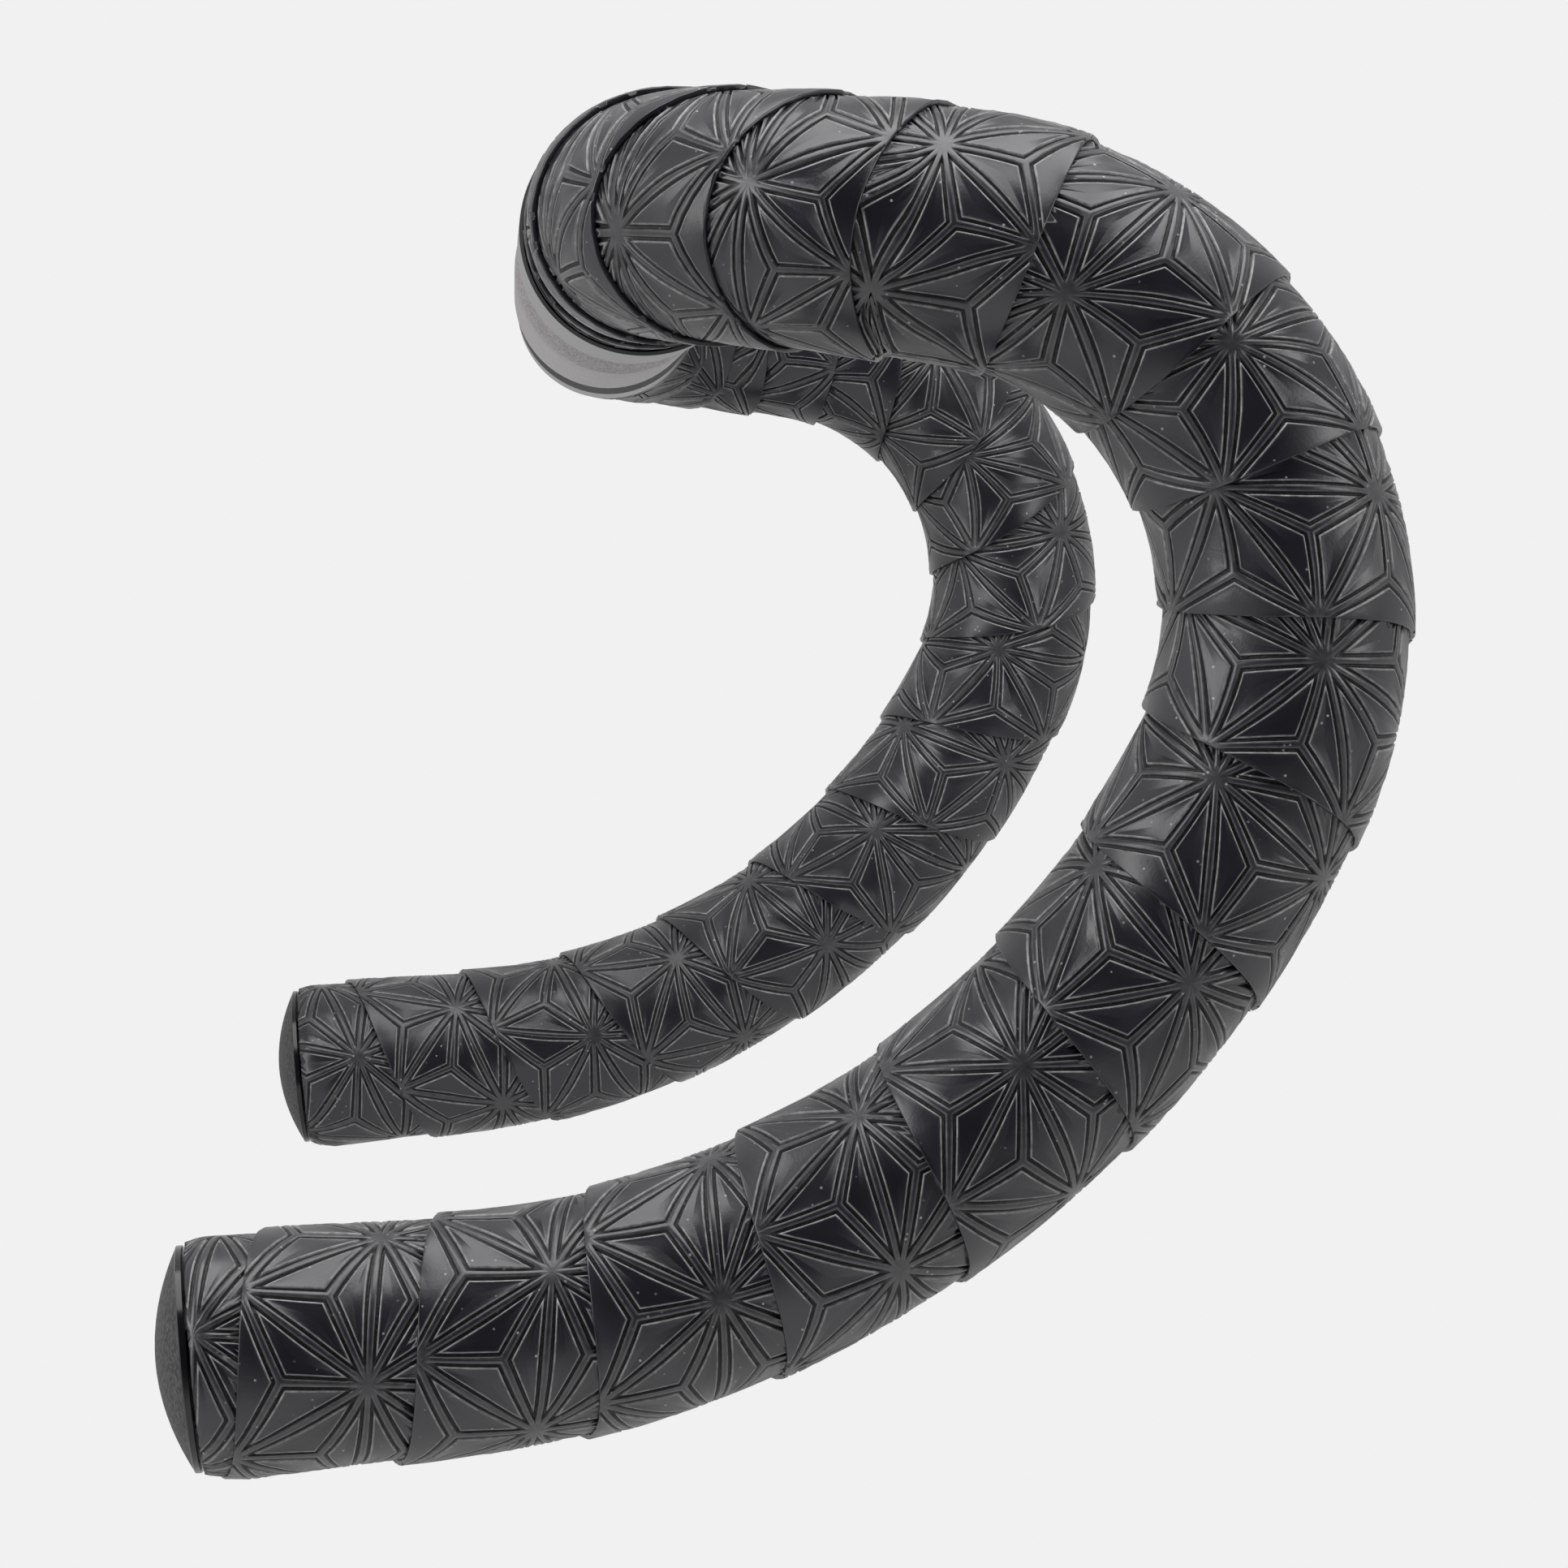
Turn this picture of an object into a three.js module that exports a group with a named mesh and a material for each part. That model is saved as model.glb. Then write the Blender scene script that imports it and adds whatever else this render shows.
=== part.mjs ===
// A drop handlebar wrapped in embossed tape. Millimetres; +X forward, +Y to the rider's left, +Z up.
// The origin is the centre of the thick middle of the bar, where a stem clamps it.
import * as THREE from 'three';
import { mergeVertices } from 'three/addons/utils/BufferGeometryUtils.js';

// The bar's bends, from the bar end forward, up and back to the middle
const bar_width = 410; // between the two hooks, at the ramps
const end_straight = 32; // straight grip behind the lower bend
const end_slope = 11.7; // degrees, how far the grip drops towards its end
const lower_radius = 125;
const lower_sweep = 59.8; // degrees
const hook_radius = 48.8;
const ramp_fall = 1; // degrees, how far the ramp drops towards the rider
const ramp_length = 6;
const corner_radius = 30;
const toe_in = 3; // degrees, the hooks lean towards each other below the ramps
const tops_forward = 0.8; // degrees, the tops run forward from the clamp to the corners
const tops_rise = 0.75; // degrees, they also rise on the way

// The bar's tube
const bar_diameter = 23.8;
const bar_wall = 2;
const clamp_diameter = 31.8;
const clamp_wall = 2.6;
const clamp_length = 100;
const taper_length = 12;

// The tape: how far out its surface lies, at the grip's end, along the grip, round the hook and at its cut end
const tape_radius_tucked = 14.6;
const tape_radius_grip = 15.7;
const tape_radius_lower = 15.3;
const tape_radius_hook = 16.4;
const tape_radius_last = 16.0;
const tuck_length = 5; // the tape rounds down to the plug over this length
const turn_step = 1.0; // height of the step where one turn lies on the one before
const first_turn = 6; // where the first visible edge crosses the outer side of the bar
const turn_advances = [22.5, 22.5, 23, 24, 24, 21, 21, 20.5, 19.5, 17.5, 24, 20.5, 12.5, 12.5, 12.5, 14.5, 15];
const turn_skew = 0.45; // 0 is an even helix, 1 lays the turns square across the outer side
const hook_skew = 0.55; // added where the turns stand square round the hook
const hook_skew_turn = 10;
const hook_skew_spread = 2;
const corner_bow = 6; // how far the edges run back on either side of the corner's outer side
const bow_comes = [10.75, 11.75]; // turns over which that comes in
const bow_goes = [15, 16.5]; // turns over which it goes out again
const tape_end = 148; // the cut end's distance from the middle of the bar

// The band that holds the cut end down
const band_length = 46;
const band_thickness = 0.5;
const band_overhang = 6; // how far it runs past the cut end, onto the bare bar
const band_slope = 2; // length over which it steps down from the tape to the bar
const tape_squeeze = 0.4; // how much tighter the tape lies under the band's inner edge

// The plug in each bar end
const rim_radius = 14.7;
const rim_thickness = 1;
const dome_height = 3.8;
const dome_inset = 0.3;
const stem_length = 22;
const stem_wall = 2;
const stem_rib = 0.7; // how far each rib stands out of the stem
const rib_pitch = 5;
const rib_count = 4;
const cap_thickness = 2;

const gap = 0.3; // between pieces that touch
const sides = 16; // corners of each round section
const bend_step = 12.5; // degrees of bend from one section to the next

const deg = Math.PI / 180;
const left = new THREE.Vector3(0, 1, 0);

// The hook's centreline, as straights and bends in one upright plane
const hook_sweep = 180 + ramp_fall - end_slope - lower_sweep;
const segments = [
  { length: end_straight, bend: 0 },
  { length: lower_radius * lower_sweep * deg, bend: 1 / lower_radius },
  { length: hook_radius * hook_sweep * deg, bend: 1 / hook_radius },
  { length: ramp_length, bend: 0 },
];

function hookAt(s) {
  let x = 0;
  let z = 0;
  let angle = end_slope * deg;
  let rest = s;
  for (const { length, bend } of segments) {
    const t = Math.min(rest, length);
    if (bend === 0) {
      x += t * Math.cos(angle);
      z += t * Math.sin(angle);
    } else {
      x += (Math.sin(angle + bend * t) - Math.sin(angle)) / bend;
      z += (Math.cos(angle) - Math.cos(angle + bend * t)) / bend;
    }
    angle += bend * t;
    rest -= t;
    if (rest <= 0) break;
  }
  return { x, z, angle };
}

// Distances along the right half: the ramp's end, the corner's end and the middle of the bar
const ramp_end = segments.reduce((sum, { length }) => sum + length, 0);
const corner_end = ramp_end + corner_radius * 90 * deg;
const middle = corner_end + bar_width / 2 - corner_radius;
const last_hook = hookAt(ramp_end);
const rearward = new THREE.Vector3(Math.cos(last_hook.angle), 0, Math.sin(last_hook.angle));
const corner_start = new THREE.Vector3(last_hook.x, 0, last_hook.z);
const corner_centre = corner_start.clone().addScaledVector(left, corner_radius);
const tops_start = corner_centre.clone().addScaledVector(rearward, corner_radius);
const origin = new THREE.Vector3(tops_start.x, bar_width / 2, tops_start.z);

// Point, direction and the two cross directions at a distance s from the right bar end
function station(s) {
  const point = new THREE.Vector3();
  const along = new THREE.Vector3();
  const inboard = left.clone();
  if (s <= ramp_end) {
    const { x, z, angle } = hookAt(s);
    point.set(x, 0, z);
    along.set(Math.cos(angle), 0, Math.sin(angle));
  } else if (s <= corner_end) {
    const turn = (s - ramp_end) / corner_radius;
    point.copy(corner_centre).addScaledVector(left, -corner_radius * Math.cos(turn));
    point.addScaledVector(rearward, corner_radius * Math.sin(turn));
    along.copy(rearward).multiplyScalar(Math.cos(turn)).addScaledVector(left, Math.sin(turn));
    inboard.copy(rearward).multiplyScalar(-Math.sin(turn)).addScaledVector(left, Math.cos(turn));
  } else {
    point.copy(tops_start).addScaledVector(left, s - corner_end);
    along.copy(left);
    inboard.copy(rearward).multiplyScalar(-1);
  }
  point.sub(origin);
  return { point, inside: along.clone().cross(inboard), inboard };
}

// A point at an angle round the tube: 0 faces out of the hook and a quarter turn on faces outboard
function surfacePoint(s, angle, radius) {
  const { point, inside, inboard } = station(s);
  point.addScaledVector(inside, -radius * Math.cos(angle));
  point.addScaledVector(inboard, -radius * Math.sin(angle));
  const reach = Math.max(0, -point.y - clamp_length / 2);
  point.addScaledVector(left, Math.tan(toe_in * deg) * Math.max(0, -point.z));
  point.x += Math.tan(tops_forward * deg) * reach;
  point.z += Math.tan(tops_rise * deg) * reach;
  return point;
}

function ring(s, radius) {
  const points = [];
  for (let k = 0; k < sides; k++) {
    points.push(surfacePoint(s, (k / sides) * 2 * Math.PI, radius));
  }
  return points;
}

const mirrored = (points) => points.map((p) => new THREE.Vector3(p.x, -p.y, p.z));

// Collects triangles and turns them into one closed mesh with its faces pointing out
class Skin {
  corners = [];

  triangle(a, b, c) {
    this.corners.push(a, b, c);
  }

  quad(a, b, c, d) {
    this.triangle(a, b, c);
    this.triangle(a, c, d);
  }

  // Joins two rings of the same number of points
  join(first, second) {
    for (let k = 0; k < first.length; k++) {
      const next = (k + 1) % first.length;
      this.quad(first[k], first[next], second[next], second[k]);
    }
  }

  joinAll(rings) {
    for (let i = 0; i + 1 < rings.length; i++) this.join(rings[i], rings[i + 1]);
  }

  geometry() {
    const raw = new THREE.BufferGeometry();
    raw.setAttribute('position', new THREE.Float32BufferAttribute(this.corners.flatMap((p) => p.toArray()), 3));
    const merged = mergeVertices(raw, 1e-3);
    const index = merged.index.array;
    const kept = [];
    for (let i = 0; i < index.length; i += 3) {
      const [a, b, c] = [index[i], index[i + 1], index[i + 2]];
      if (a !== b && b !== c && c !== a) kept.push(a, b, c);
    }
    if (enclosedVolume(merged.attributes.position, kept) < 0) kept.reverse();
    merged.setIndex(kept);
    merged.computeVertexNormals();
    return merged;
  }
}

function enclosedVolume(position, index) {
  const [a, b, c] = [new THREE.Vector3(), new THREE.Vector3(), new THREE.Vector3()];
  let sum = 0;
  for (let i = 0; i < index.length; i += 3) {
    a.fromBufferAttribute(position, index[i]);
    b.fromBufferAttribute(position, index[i + 1]);
    c.fromBufferAttribute(position, index[i + 2]);
    sum += a.dot(b.cross(c)) / 6;
  }
  return sum;
}

function mirroredGeometry(geometry) {
  const copy = geometry.clone();
  copy.scale(1, -1, 1);
  copy.setIndex([...copy.index.array].reverse());
  copy.computeVertexNormals();
  return copy;
}

// Distances of the bar's sections: both ends of each straight, and steps round each bend
const band_start = middle - tape_end;
const band_stop = band_start + band_length;
const tape_stop = band_stop - band_overhang;
const clamp_start = middle - clamp_length / 2;
const taper_start = clamp_start - taper_length;

function barStations() {
  const stations = [0];
  const bends = [...segments, { length: corner_end - ramp_end, bend: 1 / corner_radius }];
  let s = 0;
  for (const { length, bend } of bends) {
    const steps = Math.max(1, Math.ceil((bend * length) / (bend_step * deg)));
    for (let k = 1; k <= steps; k++) stations.push(s + (length * k) / steps);
    s += length;
  }
  return [...stations, tape_stop, band_stop, taper_start, clamp_start];
}

const stations = barStations();

// The handlebar: one hollow tube, thicker at the clamp, open at both ends
function handlebar() {
  const inClamp = (s) => s >= clamp_start;
  const outer = (s) => (inClamp(s) ? clamp_diameter : bar_diameter) / 2;
  const bore = (s) => outer(s) - (inClamp(s) ? clamp_wall : bar_wall);
  const right_outer = stations.map((s) => ring(s, outer(s)));
  const right_bore = stations.map((s) => ring(s, bore(s)));
  const outside = [...right_outer, ...right_outer.map(mirrored).reverse()];
  const inside = [...right_bore, ...right_bore.map(mirrored).reverse()].reverse();
  const skin = new Skin();
  skin.joinAll([...outside, ...inside, outside[0]]);
  return skin.geometry();
}

// Where the edge of the turn lies on the outboard side, after a whole number of turns
const turn_edges = turn_advances.reduce((edges, advance) => [...edges, edges.at(-1) + advance], [first_turn]);

function edgeAlong(turns) {
  const last = turn_edges.length - 1;
  const k = Math.min(Math.max(Math.floor(turns), 0), last - 1);
  const t = turns - k;
  if (turns < 0) return first_turn + turn_advances[0] * turns;
  if (turns >= last) return turn_edges[last] + turn_advances[last - 1] * (turns - last);
  const from = turn_edges[k];
  const to = turn_edges[k + 1];
  const slope_from = k > 0 ? (to - turn_edges[k - 1]) / 2 : to - from;
  const slope_to = k + 2 <= last ? (turn_edges[k + 2] - from) / 2 : to - from;
  const bow = (1 - t) * (1 - t) * t * (slope_from - (to - from)) - (1 - t) * t * t * (slope_to - (to - from));
  return from + (to - from) * t + bow;
}

// Distance along the bar of a turn's edge, counted in turns from the outboard side of the first one
function edgeAt(turns) {
  const skew = turn_skew + hook_skew * Math.exp(-(((turns + 1 - hook_skew_turn) / hook_skew_spread) ** 2));
  const advance = edgeAlong(turns + 0.5) - edgeAlong(turns - 0.5);
  const { smoothstep } = THREE.MathUtils;
  const bow = corner_bow * smoothstep(turns, ...bow_comes) * (1 - smoothstep(turns, ...bow_goes));
  const lean = ((skew * advance) / (2 * Math.PI)) * Math.sin(2 * Math.PI * turns);
  return edgeAlong(turns) - lean - bow * (1 - Math.cos(2 * Math.PI * turns));
}

// The tape's mean surface, without its steps
const lower_middle = end_straight + segments[1].length / 2;
const hook_start = end_straight + segments[1].length;
const radius_points = [
  [0, tape_radius_tucked],
  [tuck_length, tape_radius_grip],
  [lower_middle, tape_radius_lower],
  [hook_start, (tape_radius_lower + tape_radius_hook) / 2],
  [ramp_end, tape_radius_hook],
  [band_start, tape_radius_last],
  [tape_stop, tape_radius_last - tape_squeeze],
];

function tapeRadius(s) {
  for (let k = 1; k < radius_points.length; k++) {
    const [from, low] = radius_points[k - 1];
    const [to, high] = radius_points[k];
    if (s <= to) return low + ((high - low) * (s - from)) / (to - from);
  }
  return radius_points.at(-1)[1];
}

// The steps fade out at the tucked end and under the band
const step_fade = (s) => Math.max(0, Math.min(1, s / tuck_length, (band_start - s) / tuck_length));

// Height of the surface over its mean: high at the turn's own edge, low where the next turn starts
function tapeSurface(s, share) {
  return tapeRadius(s) + turn_step * (0.5 - share) * step_fade(s);
}

const row_shares = [0, 0.45, 1];

// One wound strip: rows of points run along the turns, and each turn's edge steps up from the last turn
function tape() {
  const first = -2 * sides;
  const turnsAt = (m) => m / sides - 0.25;
  let last = first;
  while (edgeAt(turnsAt(last - sides)) < tape_stop) last++;
  const rows = new Map();
  for (let m = first; m <= last; m++) {
    const turns = turnsAt(m);
    const corner = ((m % sides) + sides) % sides;
    const angle = (corner / sides) * 2 * Math.PI;
    const edge = edgeAt(turns);
    const next = edgeAt(turns + 1);
    const at = (s, share) => {
      const held = Math.min(Math.max(s, 0), tape_stop);
      return surfacePoint(held, angle, tapeSurface(held, s === held ? share : 0.5));
    };
    rows.set(m, row_shares.map((share) => at(edge + (next - edge) * share, share)));
  }
  const skin = new Skin();
  for (let m = first; m < last; m++) {
    const here = rows.get(m);
    const there = rows.get(m + 1);
    for (let r = 0; r + 1 < here.length; r++) skin.quad(here[r], there[r], there[r + 1], here[r + 1]);
    const over = rows.get(m + sides);
    const over_there = rows.get(m + 1 + sides);
    if (over && over_there) skin.quad(here.at(-1), there.at(-1), over_there[0], over[0]);
  }
  const bore = bar_diameter / 2 + gap;
  const bored = stations.filter((s) => s <= tape_stop).map((s) => ring(s, bore)).reverse();
  skin.joinAll([ring(tape_stop, tapeSurface(tape_stop, 0.5)), ...bored, ring(0, tapeSurface(0, 0.5))]);
  return skin.geometry();
}

// The band: a thin sleeve on the tape's cut end that steps down onto the bare bar
function finishingBand() {
  const on_bar = bar_diameter / 2 + gap;
  const on_tape = (s) => tapeSurface(s, 0.5) + gap;
  const drop_end = tape_stop + gap + band_slope;
  const under = [
    [band_start, on_tape(band_start)],
    [tape_stop + gap, on_tape(tape_stop)],
    [drop_end, on_bar],
    [band_stop, on_bar],
  ];
  const rings = under.map(([s, radius]) => ring(s, radius));
  const over = under.map(([s, radius]) => ring(s, radius + band_thickness)).reverse();
  const skin = new Skin();
  skin.joinAll([...rings, ...over, rings[0]]);
  return skin.geometry();
}

// The plug, turned about the bar's end: a domed cap, a rim against the tape and a hollow ribbed stem
function endPlug() {
  const stem = bar_diameter / 2 - bar_wall - gap - stem_rib;
  const outline = [];
  const dome_radius = rim_radius - dome_inset;
  const dome_steps = 5;
  for (let k = 0; k <= dome_steps; k++) {
    const share = k / dome_steps;
    outline.push([-gap - rim_thickness - dome_height * (1 - share * share), dome_radius * share]);
  }
  outline.push([-gap - rim_thickness, rim_radius], [-gap, rim_radius], [-gap, stem]);
  for (let k = 0; k < rib_count; k++) {
    const s = rib_pitch * (k + 0.5);
    outline.push([s, stem], [s, stem + stem_rib], [s + rib_pitch / 2, stem]);
  }
  outline.push([stem_length, stem], [stem_length, stem - stem_wall], [cap_thickness, stem - stem_wall]);
  outline.push([cap_thickness, 0]);
  const skin = new Skin();
  skin.joinAll(outline.map(([s, radius]) => ring(s, radius)));
  return skin.geometry();
}

const finishes = {
  bar: new THREE.MeshStandardMaterial({ color: 0x5d5a5a, roughness: 0.45, metalness: 0.6 }),
  tape: new THREE.MeshStandardMaterial({ color: 0x232427, roughness: 0.5, metalness: 0 }),
  band: new THREE.MeshStandardMaterial({ color: 0x3a393b, roughness: 0.3, metalness: 0 }),
  plug: new THREE.MeshStandardMaterial({ color: 0x2a2a2b, roughness: 0.6, metalness: 0 }),
};

const model = new THREE.Group();

function add(name, geometry, finish) {
  const mesh = new THREE.Mesh(geometry, finish);
  mesh.name = name;
  model.add(mesh);
}

function addPair(name, geometry, finish) {
  add(`${name}_right`, geometry, finish);
  add(`${name}_left`, mirroredGeometry(geometry), finish);
}

add('handlebar', handlebar(), finishes.bar);
addPair('tape', tape(), finishes.tape);
addPair('finishing_tape', finishingBand(), finishes.band);
addPair('end_plug', endPlug(), finishes.plug);

export default model;
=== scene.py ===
import math

import bmesh
import bpy
import numpy as np
from mathutils import Matrix


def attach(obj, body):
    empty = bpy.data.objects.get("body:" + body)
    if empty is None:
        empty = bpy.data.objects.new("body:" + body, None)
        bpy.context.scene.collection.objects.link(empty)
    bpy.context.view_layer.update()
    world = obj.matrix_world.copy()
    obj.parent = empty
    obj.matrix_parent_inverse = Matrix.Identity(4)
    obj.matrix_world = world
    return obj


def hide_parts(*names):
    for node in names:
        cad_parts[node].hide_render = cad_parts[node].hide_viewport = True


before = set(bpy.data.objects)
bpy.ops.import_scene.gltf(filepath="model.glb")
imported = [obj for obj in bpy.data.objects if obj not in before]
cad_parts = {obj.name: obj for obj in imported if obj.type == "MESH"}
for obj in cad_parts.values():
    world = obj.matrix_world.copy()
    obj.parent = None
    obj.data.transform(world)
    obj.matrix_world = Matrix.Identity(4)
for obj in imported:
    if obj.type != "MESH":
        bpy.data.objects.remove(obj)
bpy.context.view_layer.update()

MM = 0.001

# Sizes of the bar's path, in millimetres, as in the part's source
BAR_WIDTH = 410.0
END_STRAIGHT = 32.0
END_SLOPE = math.radians(11.7)
LOWER_RADIUS = 125.0
LOWER_SWEEP = math.radians(59.8)
HOOK_RADIUS = 48.8
RAMP_FALL = math.radians(1)
RAMP_LENGTH = 6.0
CORNER_RADIUS = 30.0
TOE_IN = math.tan(math.radians(3))
TOPS_FORWARD = math.tan(math.radians(0.8))
TOPS_RISE = math.tan(math.radians(0.75))
HOOK_SWEEP = math.pi + RAMP_FALL - END_SLOPE - LOWER_SWEEP

HOOK_START = END_STRAIGHT + LOWER_RADIUS * LOWER_SWEEP
HOOK_END = HOOK_START + HOOK_RADIUS * HOOK_SWEEP
RAMP_END = HOOK_END + RAMP_LENGTH
CORNER_END = RAMP_END + CORNER_RADIUS * math.pi / 2
MIDDLE = CORNER_END + BAR_WIDTH / 2 - CORNER_RADIUS
LEFT = np.array([0.0, 1.0, 0.0])

# Sizes of the bar, the tape, the band and the plug, in millimetres
BAR_RADIUS, BAR_BORE = 11.9, 9.9
CLAMP_RADIUS, CLAMP_BORE = 15.9, 13.3
CLAMP_LENGTH, TAPER_LENGTH = 100.0, 12.0
CLAMP_START = MIDDLE - CLAMP_LENGTH / 2
TAPER_START = CLAMP_START - TAPER_LENGTH
TAPE_END = 148.0
BAND_LENGTH, BAND_OVERHANG, BAND_SLOPE, BAND_THICKNESS = 46.0, 6.0, 2.0, 0.5
BAND_START = MIDDLE - TAPE_END
BAND_STOP = BAND_START + BAND_LENGTH
TAPE_STOP = BAND_STOP - BAND_OVERHANG
TUCK_LENGTH = 5.0
TUCKED_RADIUS, GRIP_RADIUS = 14.6, 15.7
TURN_STEP = 0.85
GAP = 0.3
RIM_RADIUS, RIM_THICKNESS, DOME_HEIGHT, DOME_INSET = 14.7, 1.0, 3.8, 0.3
RIM_EDGE = 0.15
STEM_LENGTH, STEM_WALL = 22, 2
RIB_COUNT, RIB_PITCH, RIB_HEIGHT, RIB_LENGTH = 4, 5, 0.7, 2.5


def hook_path(s):
    """Place and slope of the hook's centreline in its upright plane, at distances s from the bar end"""
    x = np.zeros_like(s)
    z = np.zeros_like(s)
    angle = np.full_like(s, END_SLOPE)
    start = 0.0
    for length, bend in ((END_STRAIGHT, 0), (HOOK_START - END_STRAIGHT, 1 / LOWER_RADIUS),
                         (HOOK_END - HOOK_START, 1 / HOOK_RADIUS), (RAMP_LENGTH, 0)):
        low = -1e3 if start == 0 else 0.0
        t = np.clip(s - start, low, length)
        if bend:
            x += (np.sin(angle + bend * t) - np.sin(angle)) / bend
            z += (np.cos(angle) - np.cos(angle + bend * t)) / bend
        else:
            x += t * np.cos(angle)
            z += t * np.sin(angle)
        angle = angle + bend * t
        start += length
    return x, z, angle


_x, _z, _slope = (float(v[0]) for v in hook_path(np.array([RAMP_END])))
REARWARD = np.array([math.cos(_slope), 0.0, math.sin(_slope)])
CORNER_CENTRE = np.array([_x, CORNER_RADIUS, _z])
TOPS_START = CORNER_CENTRE + CORNER_RADIUS * REARWARD
ORIGIN = np.array([TOPS_START[0], BAR_WIDTH / 2, TOPS_START[2]])


def stations(s):
    """Centre, inside and inboard directions of the right half at distances s from its bar end"""
    s = np.asarray(s, float)
    x, z, angle = hook_path(np.minimum(s, RAMP_END))
    point = np.stack([x, np.zeros_like(x), z], -1)
    along = np.stack([np.cos(angle), np.zeros_like(x), np.sin(angle)], -1)
    turn = np.clip((s - RAMP_END) / CORNER_RADIUS, 0, math.pi / 2)[..., None]
    corner = CORNER_CENTRE + CORNER_RADIUS * (REARWARD * np.sin(turn) - LEFT * np.cos(turn))
    corner = corner + LEFT * np.maximum(s - CORNER_END, 0)[..., None]
    past = (s > RAMP_END)[..., None]
    point = np.where(past, corner, point)
    along = np.where(past, REARWARD * np.cos(turn) + LEFT * np.sin(turn), along)
    inboard = LEFT * np.cos(turn) - REARWARD * np.sin(turn)
    return point - ORIGIN, np.cross(along, inboard), inboard


def surface(s, angle, radius):
    """Points round the tube, in millimetres: angle 0 faces out of the hook, a quarter turn faces outboard"""
    point, inside, inboard = stations(s)
    angle = np.asarray(angle, float)[..., None]
    radius = np.asarray(radius, float)[..., None]
    point = point - inside * radius * np.cos(angle) - inboard * radius * np.sin(angle)
    reach = np.maximum(0, -point[..., 1] - CLAMP_LENGTH / 2)
    point[..., 1] += TOE_IN * np.maximum(0, -point[..., 2])
    point[..., 0] += TOPS_FORWARD * reach
    point[..., 2] += TOPS_RISE * reach
    return point


def smooth_step(t):
    t = np.clip(t, 0, 1)
    return t * t * (3 - 2 * t)


def even_steps(spans):
    """Distances along the bar from 0: each span of (start, stop, step) cut evenly, no piece over its step"""
    steps = [0.0]
    for start, stop, step in spans:
        count = math.ceil((stop - start) / step)
        steps += [start + (stop - start) * (k + 1) / count for k in range(count)]
    return steps


# The wound tape: where the edge of each turn lies

TURN_ADVANCES = [22.5, 22.5, 23, 24, 24, 21, 21, 20.5, 19.5, 17.5, 24, 20.5, 12.5, 12.5, 12.5, 14.5, 15]
FIRST_TURN = 6.0
TURN_EDGES = np.concatenate([[FIRST_TURN], FIRST_TURN + np.cumsum(TURN_ADVANCES)])
TURN_SKEW, HOOK_SKEW, HOOK_SKEW_TURN, HOOK_SKEW_SPREAD = 0.45, 0.55, 10, 2
CORNER_BOW, BOW_TURNS = 6.0, (10.75, 11.75, 15.0, 16.5)


def edge_along(turns):
    """A smooth line through the turn edges on the outboard side, carried on straight past both ends"""
    last = len(TURN_EDGES) - 1
    k = np.clip(np.floor(turns).astype(int), 0, last - 1)
    t = turns - k
    start, stop = TURN_EDGES[k], TURN_EDGES[k + 1]
    chord = stop - start
    slope_in = np.where(k > 0, (stop - TURN_EDGES[np.maximum(k - 1, 0)]) / 2, chord)
    slope_out = np.where(k + 2 <= last, (TURN_EDGES[np.minimum(k + 2, last)] - start) / 2, chord)
    bow = (1 - t) ** 2 * t * (slope_in - chord) - (1 - t) * t * t * (slope_out - chord)
    inner = start + chord * t + bow
    before = TURN_EDGES[0] + TURN_ADVANCES[0] * turns
    after = TURN_EDGES[last] + TURN_ADVANCES[-1] * (turns - last)
    return np.where(turns < 0, before, np.where(turns >= last, after, inner))


def corner_share(turns):
    """1 for the turns on the corner, 0 for those well away from it"""
    rise_from, rise_to, fall_from, fall_to = BOW_TURNS
    return smooth_step((turns - rise_from) / (rise_to - rise_from)) * \
        smooth_step((fall_to - turns) / (fall_to - fall_from))


def edge_at(turns):
    """Distance along the bar of the tape's edge; turns are counted from the first edge's outboard side"""
    skew = TURN_SKEW + HOOK_SKEW * np.exp(-(((turns + 1 - HOOK_SKEW_TURN) / HOOK_SKEW_SPREAD) ** 2))
    advance = edge_along(turns + 0.5) - edge_along(turns - 0.5)
    bow = CORNER_BOW * corner_share(turns) * (1 - np.cos(2 * math.pi * turns))
    return edge_along(turns) - skew * advance / (2 * math.pi) * np.sin(2 * math.pi * turns) - bow


LOWER_MIDDLE = (END_STRAIGHT + HOOK_START) / 2
RADIUS_KNOTS = ([TUCK_LENGTH, LOWER_MIDDLE, HOOK_START, RAMP_END, BAND_START, TAPE_STOP],
                [GRIP_RADIUS, 15.3, 15.85, 16.4, 16.0, 15.6])


def tape_radius(s):
    """Radius of the tape halfway up its turn steps, rounded in towards the plug"""
    tuck = np.clip(1 - s / TUCK_LENGTH, 0, 1)
    round_in = (GRIP_RADIUS - TUCKED_RADIUS) * (1 - np.sqrt(np.maximum(1 - tuck ** 2.2, 0)))
    return np.interp(s, *RADIUS_KNOTS) - round_in


def step_fade(s):
    """How much of the turn steps' height is there: none at the plug and under the band"""
    return np.clip(np.minimum(s / TUCK_LENGTH, (BAND_START - s) / TUCK_LENGTH), 0, 1)


# Flat mesh tools

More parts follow.
